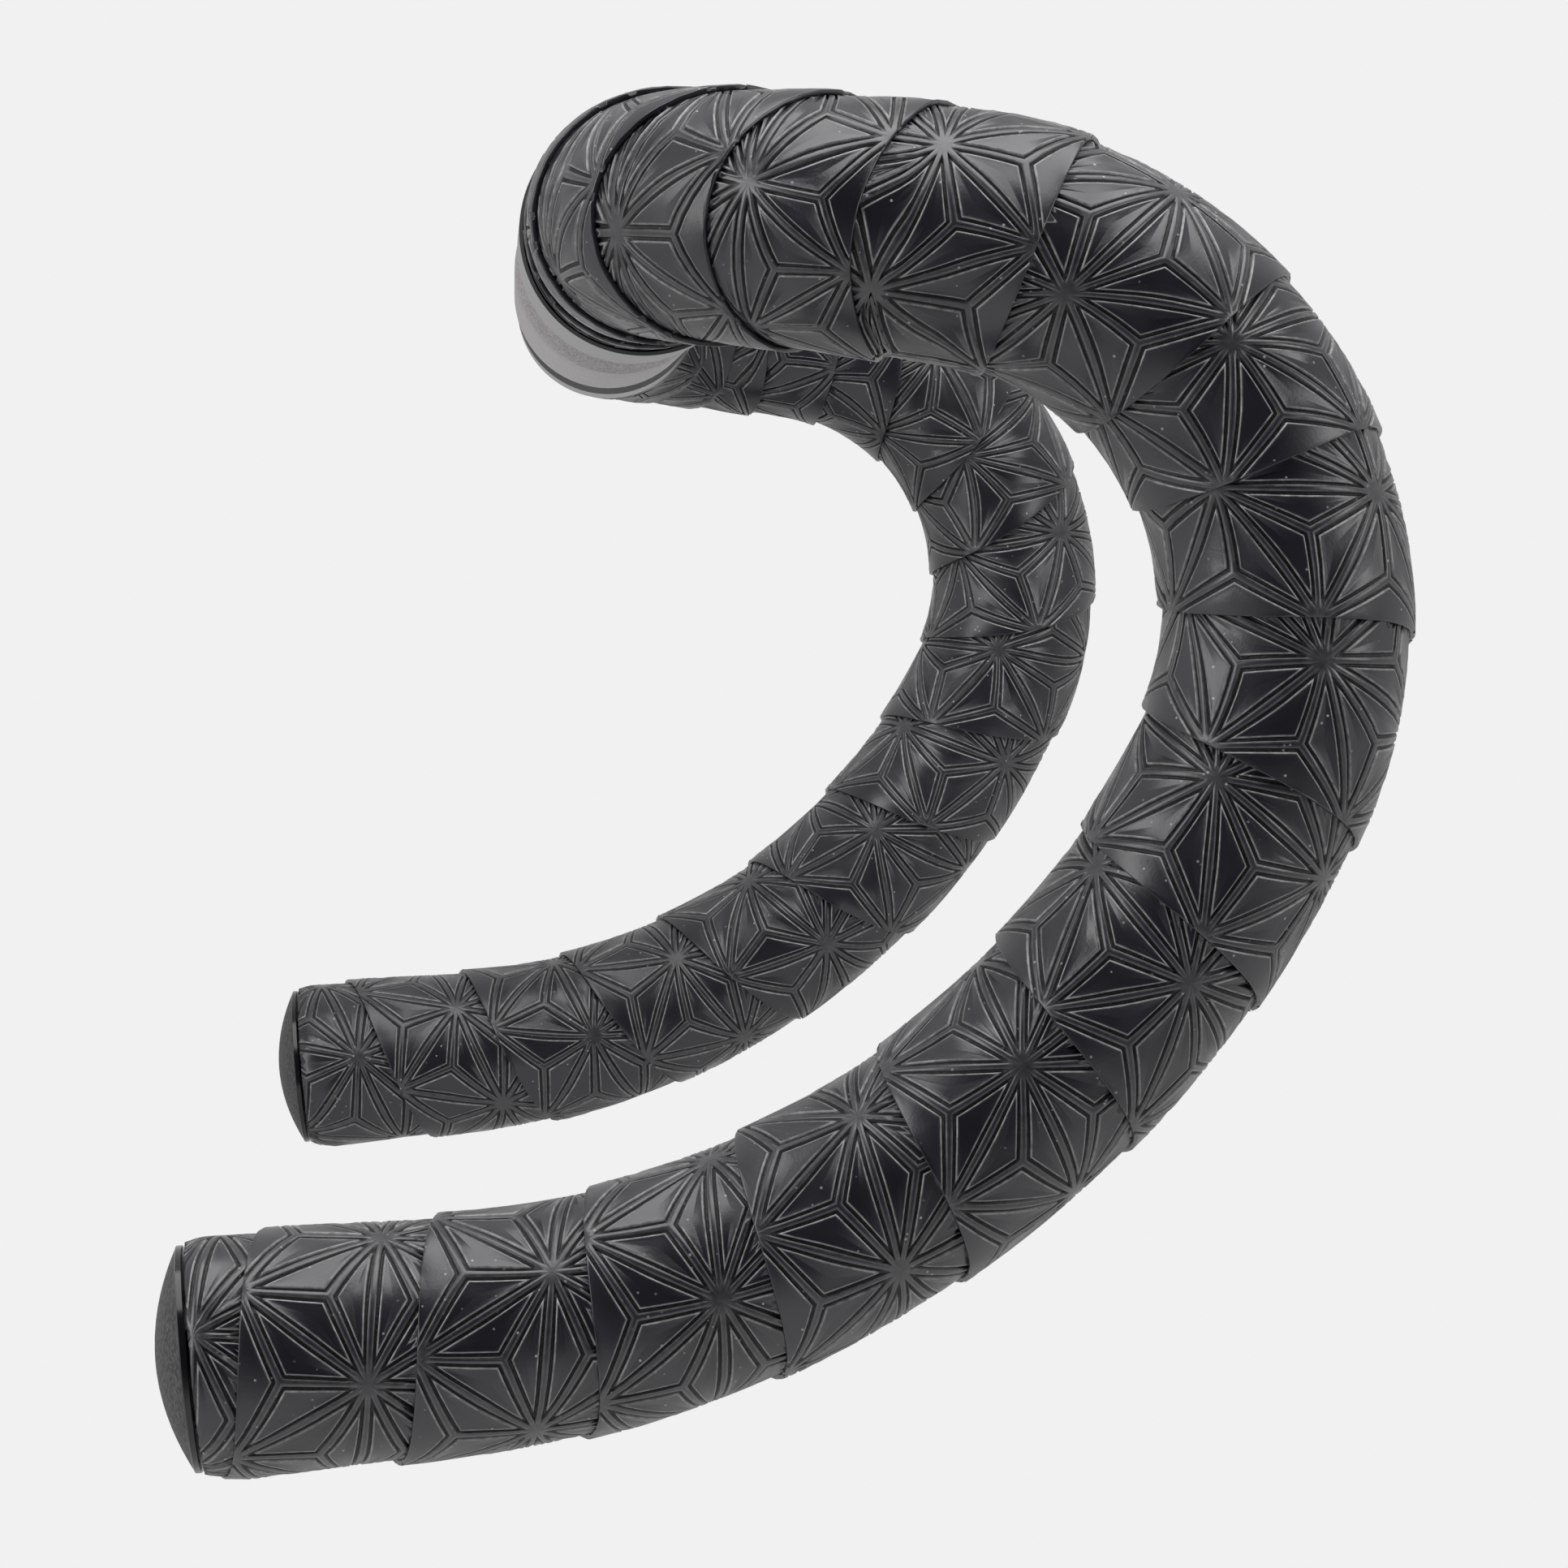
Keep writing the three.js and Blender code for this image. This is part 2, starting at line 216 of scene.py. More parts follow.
def clip(points, faces, value):
    """Keeps the part of a triangle mesh where value is negative; also returns the segments of the cut"""
    value = np.where(np.abs(value) < 1e-6, -1e-6, value)
    kept = value < 0
    count = kept[faces].sum(1)
    one = faces[count == 1]
    two = faces[count == 2]
    one = np.take_along_axis(one, (kept[one].argmax(1)[:, None] + [0, 1, 2]) % 3, 1)
    two = np.take_along_axis(two, ((~kept[two]).argmax(1)[:, None] + [1, 2, 0]) % 3, 1)
    pairs = np.concatenate([one[:, [0, 1]], one[:, [0, 2]], two[:, [1, 2]], two[:, [0, 2]]])
    pairs, where = np.unique(np.sort(pairs, 1), axis=0, return_inverse=True)
    where = where.reshape(-1) + len(points)
    share = value[pairs[:, 0]] / (value[pairs[:, 0]] - value[pairs[:, 1]])
    cut = points[pairs[:, 0]] + share[:, None] * (points[pairs[:, 1]] - points[pairs[:, 0]])
    n, m = len(one), len(two)
    ab, ac = where[:n], where[n:2 * n]
    bc, dc = where[2 * n:2 * n + m], where[2 * n + m:]
    faces = np.concatenate([faces[count == 3], np.stack([one[:, 0], ab, ac], 1),
                            np.stack([two[:, 0], two[:, 1], bc], 1), np.stack([two[:, 0], bc, dc], 1)])
    segments = np.concatenate([np.stack([ab, ac], 1), np.stack([bc, dc], 1)])
    return np.concatenate([points, cut]), faces, segments


def chain(segments):
    """The points of a cut's longest run, in the order they are joined"""
    links = {}
    for a, b in segments.tolist():
        if a != b:
            links.setdefault(a, []).append(b)
            links.setdefault(b, []).append(a)
    seen = set()
    runs = []
    for start in sorted(links, key=lambda p: (len(links[p]) != 1, p)):
        if start in seen:
            continue
        run = [start]
        seen.add(start)
        while True:
            following = [p for p in links[run[-1]] if p not in seen]
            if not following:
                break
            run.append(following[0])
            seen.add(following[0])
        runs.append(run)
    return max(runs, key=len)


def zipper(first, first_at, second, second_at):
    """Triangles between two runs of points, each with its rising place along the run"""
    i = j = 0
    faces = []
    while i + 1 < len(first) or j + 1 < len(second):
        if j + 1 == len(second) or (i + 1 < len(first) and first_at[i + 1] <= second_at[j + 1]):
            faces.append((first[i], first[i + 1], second[j]))
            i += 1
        else:
            faces.append((first[i], second[j + 1], second[j]))
            j += 1
    return np.array(faces)


def ring_faces(rings, closed=True):
    """Triangles between rows of point numbers"""
    rings = np.asarray(rings)
    following = np.roll(rings, -1, 1)
    if not closed:
        rings, following = rings[:, :-1], following[:, :-1]
    a, b, c, d = rings[:-1], following[:-1], following[1:], rings[1:]
    return np.concatenate([np.stack([a, b, c], -1).reshape(-1, 3), np.stack([a, c, d], -1).reshape(-1, 3)])


# The star pattern, laid out flat on the strip

# Spacing of the stars along the strip, and where their rows lie across it
STAR_PITCH = 22.5
STAR_ROW = 16.3
EDGE_STARS = -0.3
DISC_RADIUS = 1.45
# Height, painted highlight and groove of the discs at the stars
DISC_FINISH = [0.02, 0.1, 0]
# Distance from a rib's centreline, height, how much narrower it gets next to a star, painted highlight on the
# rib edges and lips, groove mask for grit, roughness and painted shade
PROFILE = [(0.0, 0.07, 0.0, 0, 0), (0.38, 0.045, 0.24, 0.22, 0), (0.49, -0.06, 0.24, 0.05, 0.4),
           (0.56, -0.54, 0.24, 0, 1), (0.93, -0.34, 0.17, 0, 1), (1.04, 0.07, 0.13, 1, 0),
           (1.26, 0.03, 0.12, 0, 0), (1.7, -0.02, 0.1, 0, 0)]
PANEL_HEIGHT = -0.04
LONG_PLACES = [0.0, 1.45, 3.8, 7.5]
SHORT_PLACES = [0.0, 1.45, 3.4, 6.4, 9.6]


def side_points(start, stop, start_is_star, stop_is_star):
    """Points along one side of a panel's cell, without its last: place and distance to the nearest star"""
    length = float(np.linalg.norm(stop - start))
    if start_is_star and stop_is_star:
        places = LONG_PLACES + [length / 2] + [length - p for p in reversed(LONG_PLACES)]
    elif start_is_star:
        places = SHORT_PLACES + [length]
    else:
        places = [0.0] + [length - p for p in reversed(SHORT_PLACES)]
    places = np.array(places)
    far = places if start_is_star else length - places
    if start_is_star and stop_is_star:
        far = np.minimum(far, length - places)
    return start + (stop - start) * (places / length)[:, None], far


def cell_mesh(corners, stars, centre, inset, open_run):
    """One panel with its share of the ribs round it: rings of points that shrink towards its centre"""
    outline, far = [], []
    pieces = list(zip(corners, corners[1:], stars, stars[1:])) if open_run else \
        list(zip(corners, np.roll(corners, -1, 0), stars, stars[1:] + stars[:1]))
    for start, stop, a, b in pieces:
        points, distance = side_points(np.array(start), np.array(stop), a, b)
        outline.append(points[:-1])
        far.append(distance[:-1])
    if open_run:
        outline.append(points[-1:])
        far.append(distance[-1:])
    outline = np.concatenate(outline)
    far = np.concatenate(far)
    near = np.exp(-((far / 6) ** 2))
    points, heights = [], []
    for distance, height, narrowing, painted_highlight, groove in PROFILE:
        share = distance * (1 - narrowing * near) / inset
        ring = outline + (centre - outline) * share[:, None]
        points.append(ring)
        heights.append(np.tile([height, painted_highlight, groove], (len(ring), 1)))
    count = len(outline)
    rows = np.arange(len(PROFILE) * count).reshape(len(PROFILE), count)
    faces = [ring_faces(rows, closed=not open_run)]
    hub = len(PROFILE) * count
    last = rows[-1]
    following = np.roll(last, -1)
    if open_run:
        last, following = last[:-1], following[:-1]
    faces.append(np.stack([last, following, np.full(len(last), hub)], 1))
    points.append(np.array([centre]))
    heights.append(np.array([[PANEL_HEIGHT, 0, 0]]))
    return np.concatenate(points), np.concatenate(heights), np.concatenate(faces)


def inset_centre(corners):
    a, b, c = (np.array(p, float) for p in corners)
    la, lb, lc = np.linalg.norm(b - c), np.linalg.norm(c - a), np.linalg.norm(a - b)
    centre = (la * a + lb * b + lc * c) / (la + lb + lc)
    e, f = b - a, c - a
    area = abs(e[0] * f[1] - e[1] * f[0]) / 2
    return centre, 2 * area / (la + lb + lc)


def flat_pattern(first, last, origin_u):
    """The strip between two star numbers as one flat mesh: u, v, height, painted highlight and groove"""
    rise = STAR_ROW - EDGE_STARS
    rows = []
    lows, mids, highs = EDGE_STARS, STAR_ROW, STAR_ROW + rise
    half = STAR_PITCH / 2
    rows.append(([(0, lows), (STAR_PITCH, lows), (half, mids)], True))
    rows.append(([(half, mids), (STAR_PITCH + half, mids), (STAR_PITCH, lows)], False))
    rows.append(([(half, mids), (STAR_PITCH + half, mids), (STAR_PITCH, highs)], False))
    rows.append(([(0, highs), (STAR_PITCH, highs), (half, mids)], False))
    template = []
    for triangle, edge_side in rows:
        triangle = [np.array(p, float) for p in triangle]
        middle = sum(triangle) / 3
        for k in range(3):
            a, b = triangle[k], triangle[(k + 1) % 3]
            if edge_side and k == 0:
                centre = (a + b) / 2
                side = middle - a
                reach = abs(side[0] * (centre - a)[1] - side[1] * (centre - a)[0]) / np.linalg.norm(side)
                template.append(cell_mesh([a, middle, b], [True, False, True], centre, reach, True))
            else:
                centre, reach = inset_centre([a, b, middle])
                template.append(cell_mesh([a, b, middle], [True, True, False], centre, reach, False))
    points, faces, count = [], [], 0
    for flat, heights, cell_faces in template:
        block = np.column_stack([flat, heights])
        for k in range(first, last):
            shifted = block.copy()
            shifted[:, 0] += k * STAR_PITCH
            points.append(shifted)
            faces.append(cell_faces + count)
            count += len(block)
    points, faces = np.concatenate(points), np.concatenate(faces)
    # The discs at the stars
    row = np.round((points[:, 1] - EDGE_STARS) / rise)
    phase = np.where(row % 2 == 0, 0, half)
    star_u = np.round((points[:, 0] - phase) / STAR_PITCH) * STAR_PITCH + phase
    reach = np.hypot(points[:, 0] - star_u, points[:, 1] - (EDGE_STARS + row * rise))
    points[reach < DISC_RADIUS + 0.05, 2:] = DISC_FINISH
    key = np.round(points[:, :2] * 2000).astype(np.int64)
    _, index, inverse = np.unique(key, axis=0, return_index=True, return_inverse=True)
    points, faces = points[index], inverse.reshape(-1)[faces]
    sound = (faces[:, 0] != faces[:, 1]) & (faces[:, 1] != faces[:, 2]) & (faces[:, 2] != faces[:, 0])
    points[:, 0] += origin_u
    return points, faces[sound]


# The pattern wound on the bar

ANGLE_STEP = math.radians(1)
# Turns over which the winding is worked out, and turns that get stars
WOUND_FROM, WOUND_TO = -2.2, 19.4
STARS_FROM, STARS_TO = -1.95, 18.3
wound = np.arange(WOUND_FROM * 2 * math.pi, WOUND_TO * 2 * math.pi, ANGLE_STEP)
wound_turns = wound / (2 * math.pi) - 0.25
wound_edge = edge_at(wound_turns)
wound_radius = np.interp(wound_edge, *RADIUS_KNOTS)
edge_slope = np.gradient(wound_edge, ANGLE_STEP)
run = np.sqrt(wound_radius ** 2 + edge_slope ** 2) * ANGLE_STEP
wound_length = np.concatenate([[0], np.cumsum((run[1:] + run[:-1]) / 2)])
lean = np.arctan(edge_slope / wound_radius)
FIRST_STAR_ANGLE = math.radians(50)


def bend_stretch(s, angle, radius):
    """How much longer the surface is than the centreline, at a place in a bend"""
    ease = 5.0

    def inside(start, stop):
        return smooth_step((s - start) / ease + 0.5) * smooth_step((stop - s) / ease + 0.5)
    upright = inside(END_STRAIGHT, HOOK_START) / LOWER_RADIUS + inside(HOOK_START, HOOK_END) / HOOK_RADIUS
    level = inside(RAMP_END, CORNER_END) / CORNER_RADIUS
    return 1 + radius * (upright * np.cos(angle) + level * np.sin(angle))


# Turns, and the stars that the strip lags by there: set so that the stars lie where the photo has them
LAG_KNOTS = ([-0.95, 0.1, 2.2, 3.0, 6.2, 7.8, 10.9, 11.1, 11.95, 12.18, 13.0, 14.0],
             [-0.19, -0.05, -0.02, 0.11, 0.11, 0.24, 0.25, 0.19, 0.43, 0.15, 0.38, 0.33])
CORNER_PULL = 0.13
SIDE_LAG = -0.06
lag = np.interp(wound_turns, *LAG_KNOTS)
lag += SIDE_LAG * np.sin(2 * math.pi * wound_turns) * np.clip(wound_turns - 2.5, 0, 1)
# Where the first star lies along the strip, taken before the lag
first_star_length = float(np.interp(FIRST_STAR_ANGLE, wound, wound_length))
wound_length = wound_length - lag * STAR_PITCH


def wind(points):
    """Angle round the bar and distance along it for places u, v on the strip"""
    u, v = points[:, 0], points[:, 1]
    angle = np.interp(u, wound_length, wound)
    for _ in range(8):
        tilt = np.interp(angle, wound, lean)
        angle = np.interp(u - v * np.tan(tilt), wound_length, wound)
    tilt = np.interp(angle, wound, lean)
    edge = np.interp(angle, wound, wound_edge)
    onward = v / np.cos(tilt)
    radius = np.interp(edge, *RADIUS_KNOTS)
    pull = np.cos(tilt) * (1 + CORNER_PULL * corner_share(angle / (2 * math.pi) - 0.25))
    for _ in range(8):
        onward = v / (pull * bend_stretch(edge + onward / 2, angle, radius))
    return angle, edge + onward


# How far each turn reaches under the next, and over what length the relief comes in at the plug
UNDERLAP, RELIEF_START = 0.25, 0.8
# The rolled edge: distance along the bar, and depth as a share of the turn step
SKIRT = [(-0.13, 0.12), (-0.16, 0.85)]


def wound_tape():
    """The tape's outside: each point's angle, distance, radius, painted highlight and groove; triangles; end
    loops
    """
    tape_to = BAND_START + 1.0
    u_start = np.interp(STARS_FROM * 2 * math.pi, wound, wound_length)
    u_stop = np.interp(STARS_TO * 2 * math.pi, wound, wound_length)
    first = math.ceil((u_start - first_star_length) / STAR_PITCH)
    last = math.floor((u_stop - first_star_length) / STAR_PITCH)
    flat, faces = flat_pattern(first, last, first_star_length)
    flat, faces, segments = clip(flat, faces, -flat[:, 1])
    top = chain(segments)
    angle, s = wind(flat)
    edge = np.interp(angle, wound, wound_edge)
    over = np.interp(angle + 2 * math.pi, wound, wound_edge)
    share = (s - edge) / (over - edge)
    fade = step_fade(s)
    radius = tape_radius(s) + TURN_STEP * (0.5 - np.clip(share, 0, 1.1)) * fade
    radius += flat[:, 2] * np.clip(s / RELIEF_START, 0, 1)
    points = np.column_stack([angle, s, radius, flat[:, 3:]])
    points, faces, segments = clip(points, faces, s - over - UNDERLAP)
    foot = chain(segments)
    # The tape's edge, rounded over and tucked under
    top = np.array(top)
    top = top[np.argsort(points[top, 0])]
    rows = [top]
    for ahead, drop in SKIRT:
        row = points[top].copy()
        row[:, 1] += ahead
        level = tape_radius(row[:, 1]) + TURN_STEP * 0.5 * step_fade(row[:, 1])
        depth = drop * TURN_STEP * step_fade(row[:, 1])
        row[:, 2] = np.minimum(row[:, 2] - 0.3 * depth, level - depth)
        row[:, 3:] = 0
        rows.append(np.arange(len(points), len(points) + len(row)))
        points = np.concatenate([points, row])
    faces = np.concatenate([faces, ring_faces(rows, closed=False)])
    foot = np.array(foot)
    foot = foot[np.argsort(points[foot, 0])]
    skirt = rows[-1]
    begin = points[foot[0], 0] + 2 * math.pi
    skirt = skirt[points[skirt, 0] > begin]
    end = points[skirt[-1], 0] - 2 * math.pi
    foot = foot[points[foot, 0] < end]
    faces = np.concatenate([faces, zipper(foot, points[foot, 0] + 2 * math.pi, skirt, points[skirt, 0])])
    points, faces, segments = clip(points, faces, -points[:, 1])
    start_loop = chain(segments)
    points, faces, segments = clip(points, faces, points[:, 1] - tape_to)
    stop_loop = chain(segments)
    return points, faces, start_loop, stop_loop


def closed_tape():
    """The same points and triangles with the bore and both ends closed"""
    points, faces, start_loop, stop_loop = wound_tape()
    around = 48
    spin = np.arange(around) / around * 2 * math.pi
    bore = BAR_RADIUS + GAP
    spans = ((0, END_STRAIGHT, 17), (END_STRAIGHT, HOOK_START, 9), (HOOK_START, HOOK_END, 5),
             (HOOK_END, RAMP_END, 10), (RAMP_END, CORNER_END, 3.5), (CORNER_END, TAPE_STOP, 35))
    inner = [(s, bore) for s in even_steps(spans)]
    inner += [(s, float(tape_radius(s))) for s in (TAPE_STOP, BAND_START + 3)]
    rings = []
    for s, radius in inner:
        rings.append(np.arange(len(points), len(points) + around))
        ring = np.column_stack([spin, np.full(around, s), np.full(around, radius), np.zeros((around, 2))])
        points = np.concatenate([points, ring])
    faces = [faces, ring_faces(rings)]
    for loop, ring in ((start_loop, rings[0]), (stop_loop, rings[-1])):
        loop = np.array(loop)
        turn = np.unwrap(np.mod(points[loop, 0], 2 * math.pi))
        if turn[-1] < turn[0]:
            loop, turn = loop[::-1], turn[::-1]
        first = np.mod(turn, 2 * math.pi).argmin()
        loop = np.roll(loop, -first)
        turn = np.maximum.accumulate(np.unwrap(np.mod(points[loop, 0], 2 * math.pi)))
        faces.append(zipper(np.append(loop, loop[0]), np.append(turn, turn[0] + 2 * math.pi),
                            np.append(ring, ring[0]), np.append(spin, 2 * math.pi)))
    return points, np.concatenate(faces)


def make_mesh(name, points, faces, mirrored=False, sharp=None, finish=None):
    """A mesh object from points in millimetres; finish gives each point's painted highlight and groove"""
    used, inverse = np.unique(faces, return_inverse=True)
    faces = inverse.reshape(faces.shape)
    points = points[used] * MM
    if mirrored:
        points = points * [1, -1, 1]
    mesh = bpy.data.meshes.new(name)
    mesh.from_pydata(points.tolist(), [], faces.tolist())
    if finish is not None:
        for column, layer in enumerate(("painted_highlight", "groove")):
            values = np.ascontiguousarray(finish[used, column], dtype=np.float32)
            mesh.attributes.new(layer, "FLOAT", "POINT").data.foreach_set("value", values)
    work = bmesh.new()
    work.from_mesh(mesh)
    bmesh.ops.remove_doubles(work, verts=work.verts, dist=2e-6)
    bmesh.ops.dissolve_degenerate(work, edges=work.edges, dist=1e-6)
    bmesh.ops.holes_fill(work, edges=[e for e in work.edges if e.is_boundary], sides=0)
    bmesh.ops.triangulate(work, faces=[f for f in work.faces if len(f.verts) > 3])
    bmesh.ops.recalc_face_normals(work, faces=work.faces)
    work.to_mesh(mesh)
    work.free()
    mesh.shade_smooth()
    if sharp is not None:
        mesh.set_sharp_from_angle(angle=math.radians(sharp))
    obj = bpy.data.objects.new(name, mesh)
    bpy.context.scene.collection.objects.link(obj)
    return obj


def swept(name, profile, around, mirrored=False, sharp=None, wrap=False, grooves=None):
    """A tube from (distance, radius) pairs along the right half; wrap joins the last pair to the first"""
    spin = np.arange(around) / around * 2 * math.pi
    s = np.array([p[0] for p in profile])
    radius = np.array([p[1] for p in profile])
    points = surface(np.repeat(s, around), np.tile(spin, len(s)), np.repeat(radius, around))
    rows = list(np.arange(len(s) * around).reshape(len(s), around))
    if wrap:
        rows.append(rows[0])
    finish = None
    if grooves is not None:
        finish = np.column_stack([np.zeros(len(points)), np.repeat(grooves, around)])
    return make_mesh(name, points, ring_faces(rows), mirrored, sharp, finish)


# Materials

def material(name):
    made = bpy.data.materials.new(name)
    made.use_nodes = True
    tree = made.node_tree
    shader = tree.nodes["Principled BSDF"]
    return made, tree, shader


def node(tree, kind, links=(), **values):
    """A shader node: in_ values go to its sockets, the others to the node itself"""
    made = tree.nodes.new(kind)
    for key, value in values.items():
        if key.startswith("in_"):
            made.inputs[key[3:].replace("_", " ")].default_value = value
        else:
            setattr(made, key, value)
    for socket, source in links:
        tree.links.new(source, made.inputs[socket])
    return made


def ramp(tree, source, stops):
    made = tree.nodes.new("ShaderNodeValToRGB")
    made.color_ramp.elements[0].position = stops[0][0]
    made.color_ramp.elements[1].position = stops[-1][0]
    for position, _ in stops[1:-1]:
        made.color_ramp.elements.new(position)
    for element, (_, colour) in zip(made.color_ramp.elements, stops):
        element.color = (*colour, 1)
    tree.links.new(source, made.inputs["Fac"])
    return made.outputs["Color"]


def grey(value):
    return (value, value, value)


def noise(tree, place, scale, detail=4.0, roughness=0.5):
    made = node(tree, "ShaderNodeTexNoise", [("Vector", place)],
                in_Scale=scale, in_Detail=detail, in_Roughness=roughness)
    return made.outputs["Fac"]


def mix_colour(tree, share, first, second, blend_type="MIX"):
    made = node(tree, "ShaderNodeMix", data_type="RGBA", blend_type=blend_type)
    for socket, value in ((0, share), (6, first), (7, second)):
        if isinstance(value, bpy.types.NodeSocket):
            tree.links.new(value, made.inputs[socket])
        else:
            made.inputs[socket].default_value = value
    return made.outputs[2]


def tape_material():
    """Satin black rubber: smooth panels, gritty grooves darkened with painted shade, painted highlights along
    the rib edges and lips, and a little dust
    """
    made, tree, shader = material("tape_rubber")
    place = tree.nodes.new("ShaderNodeTexCoord").outputs["Object"]
    painted_highlight = node(tree, "ShaderNodeAttribute", attribute_name="painted_highlight").outputs["Fac"]
    groove = node(tree, "ShaderNodeAttribute", attribute_name="groove").outputs["Fac"]
    grain = noise(tree, place, 2600, 3)
    dark, pale = (0.0072, 0.0074, 0.0112), (0.0108, 0.0112, 0.0162)
    shade = ramp(tree, noise(tree, place, 60, 3), [(0.35, dark), (0.65, pale)])
    # Painted shade in the grooves: a grit speckle darker than the panels, in place of the shade in the recesses
    sand = ramp(tree, grain, [(0.45, grey(0.0015)), (0.68, grey(0.02))])
    shade = mix_colour(tree, groove, shade, sand)
    # Painted highlight: a lighter grey along the lips, the rib edges and a little on the star discs, in place
    # of the light they catch
    highlight_tone = ramp(tree, noise(tree, place, 900, 2), [(0.3, grey(0.12)), (0.7, grey(0.34))])
    shade = mix_colour(tree, painted_highlight, shade, highlight_tone)
    specks = node(tree, "ShaderNodeTexVoronoi", [("Vector", place)], in_Scale=560.0, in_Randomness=1.0)
    dots = ramp(tree, specks.outputs["Distance"], [(0.07, grey(1)), (0.12, grey(0))])
    rare = ramp(tree, noise(tree, place, 140, 2), [(0.46, grey(0)), (0.58, grey(1))])
    dust = mix_colour(tree, 1.0, dots, rare, "MULTIPLY")
    tree.links.new(mix_colour(tree, dust, shade, (0.3, 0.3, 0.31, 1)), shader.inputs["Base Color"])
    rough = ramp(tree, noise(tree, place, 90, 4), [(0.3, grey(0.26)), (0.7, grey(0.35))])
    tree.links.new(mix_colour(tree, groove, rough, (0.6, 0.6, 0.6, 1)), shader.inputs["Roughness"])
    strength = node(tree, "ShaderNodeMapRange", [("Value", groove)])
    strength.inputs["To Min"].default_value = 0.15
    strength.inputs["To Max"].default_value = 0.9
    links = [("Height", grain), ("Strength", strength.outputs["Result"])]
    bump = node(tree, "ShaderNodeBump", links, in_Distance=0.0001)
    tree.links.new(bump.outputs["Normal"], shader.inputs["Normal"])
    shader.inputs["Specular IOR Level"].default_value = 0.8
    return made


def bar_material():
    made, tree, shader = material("bar_finish")
    place = tree.nodes.new("ShaderNodeTexCoord").outputs["Object"]
    grit = noise(tree, place, 2400, 2)
    shade = ramp(tree, grit, [(0.35, (0.28, 0.265, 0.265)), (0.7, (0.46, 0.44, 0.44))])
    tree.links.new(shade, shader.inputs["Base Color"])
    rough = ramp(tree, noise(tree, place, 200, 3), [(0.3, grey(0.38)), (0.7, grey(0.46))])
    tree.links.new(rough, shader.inputs["Roughness"])
    bump = node(tree, "ShaderNodeBump", [("Height", grit)], in_Strength=0.5, in_Distance=0.0002)
    tree.links.new(bump.outputs["Normal"], shader.inputs["Normal"])
    shader.inputs["Metallic"].default_value = 0.3
    return made


def band_material():
    made, tree, shader = material("band_finish")
    place = tree.nodes.new("ShaderNodeTexCoord").outputs["Object"]
    shade = ramp(tree, noise(tree, place, 80, 3), [(0.35, grey(0.08)), (0.65, grey(0.1))])
    tree.links.new(shade, shader.inputs["Base Color"])
    shader.inputs["Roughness"].default_value = 0.3
    return made


def plug_material():
    """Sandy plastic on the dome, glossy on the rim and the stem"""
    made, tree, shader = material("plug_finish")
    place = tree.nodes.new("ShaderNodeTexCoord").outputs["Object"]
    sandy = node(tree, "ShaderNodeAttribute", attribute_name="groove").outputs["Fac"]
    grain = noise(tree, place, 1700, 3)
    sand = ramp(tree, grain, [(0.38, grey(0.014)), (0.62, grey(0.075))])
    tree.links.new(mix_colour(tree, sandy, (0.006, 0.006, 0.007, 1), sand), shader.inputs["Base Color"])
    rough = node(tree, "ShaderNodeMapRange", [("Value", sandy)])
    rough.inputs["To Min"].default_value = 0.16
    rough.inputs["To Max"].default_value = 0.62
    tree.links.new(rough.outputs["Result"], shader.inputs["Roughness"])
    bump = node(tree, "ShaderNodeBump", [("Height", grain), ("Strength", sandy)], in_Distance=0.00015)
    tree.links.new(bump.outputs["Normal"], shader.inputs["Normal"])
    return made


# Camera, fitted to the photograph

CAMERA_PLACE = (-11.623 * MM, -938.745 * MM, -38.631 * MM)
YAW, PITCH, ROLL = -0.05174, 0.04079, 0.11979
FOCAL, FRAME_WIDTH, SENSOR = 7160.28, 1932, 36.0


def make_camera():
    ahead = np.array([-math.sin(YAW) * math.cos(PITCH), math.cos(YAW) * math.cos(PITCH), -math.sin(PITCH)])
    level = np.array([math.cos(YAW), math.sin(YAW), 0.0])
    upright = np.cross(level, ahead)
    right = math.cos(ROLL) * level + math.sin(ROLL) * upright
    up = math.cos(ROLL) * upright - math.sin(ROLL) * level
    data = bpy.data.cameras.new("camera")
    data.sensor_width = SENSOR
    data.lens = FOCAL / FRAME_WIDTH * SENSOR
    data.clip_start, data.clip_end = 0.05, 50
    camera = bpy.data.objects.new("camera", data)
    rows = [[right[i], up[i], -ahead[i], CAMERA_PLACE[i]] for i in range(3)]
    camera.matrix_world = Matrix(rows + [[0, 0, 0, 1]])
    bpy.context.scene.collection.objects.link(camera)
    bpy.context.scene.camera = camera


make_camera()

# Pieces

tape_map, tape_faces = closed_tape()
tape_points = surface(tape_map[:, 1], tape_map[:, 0], tape_map[:, 2])
rubber = tape_material()
for side, mirrored in (("right", False), ("left", True)):
    piece = make_mesh(f"wound_tape_{side}", tape_points, tape_faces, mirrored, finish=tape_map[:, 3:])
    piece.data.materials.append(rubber)
    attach(piece, "root")
    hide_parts(f"tape_{side}")


def plug_profile():
    """Distance and radius round the domed cap, its rim and the hollow ribbed stem"""
    stem = BAR_BORE - GAP - RIB_HEIGHT
    dome = RIM_RADIUS - DOME_INSET
    cap = -GAP - RIM_THICKNESS
    profile = []
    for k in range(13):
        share = math.sin(k / 12 * math.pi / 2)
        profile.append((cap - DOME_HEIGHT * (1 - share * share), dome * share))
    profile[0] = (profile[0][0], 0.0)
    profile += [(cap + 0.02, dome + 0.02), (cap + 0.02, RIM_RADIUS - RIM_EDGE), (cap + RIM_EDGE, RIM_RADIUS),
                (-GAP - RIM_EDGE, RIM_RADIUS), (-GAP, RIM_RADIUS - RIM_EDGE), (-GAP, stem)]
    for k in range(RIB_COUNT):
        s = RIB_PITCH * (k + 0.5)
        profile += [(s, stem), (s, stem + RIB_HEIGHT), (s + RIB_LENGTH, stem)]
    bore = stem - STEM_WALL
    profile += [(STEM_LENGTH, stem), (STEM_LENGTH, bore), (STEM_WALL, bore), (STEM_WALL, 0)]
    return profile


plug_look = plug_material()
band_look = band_material()


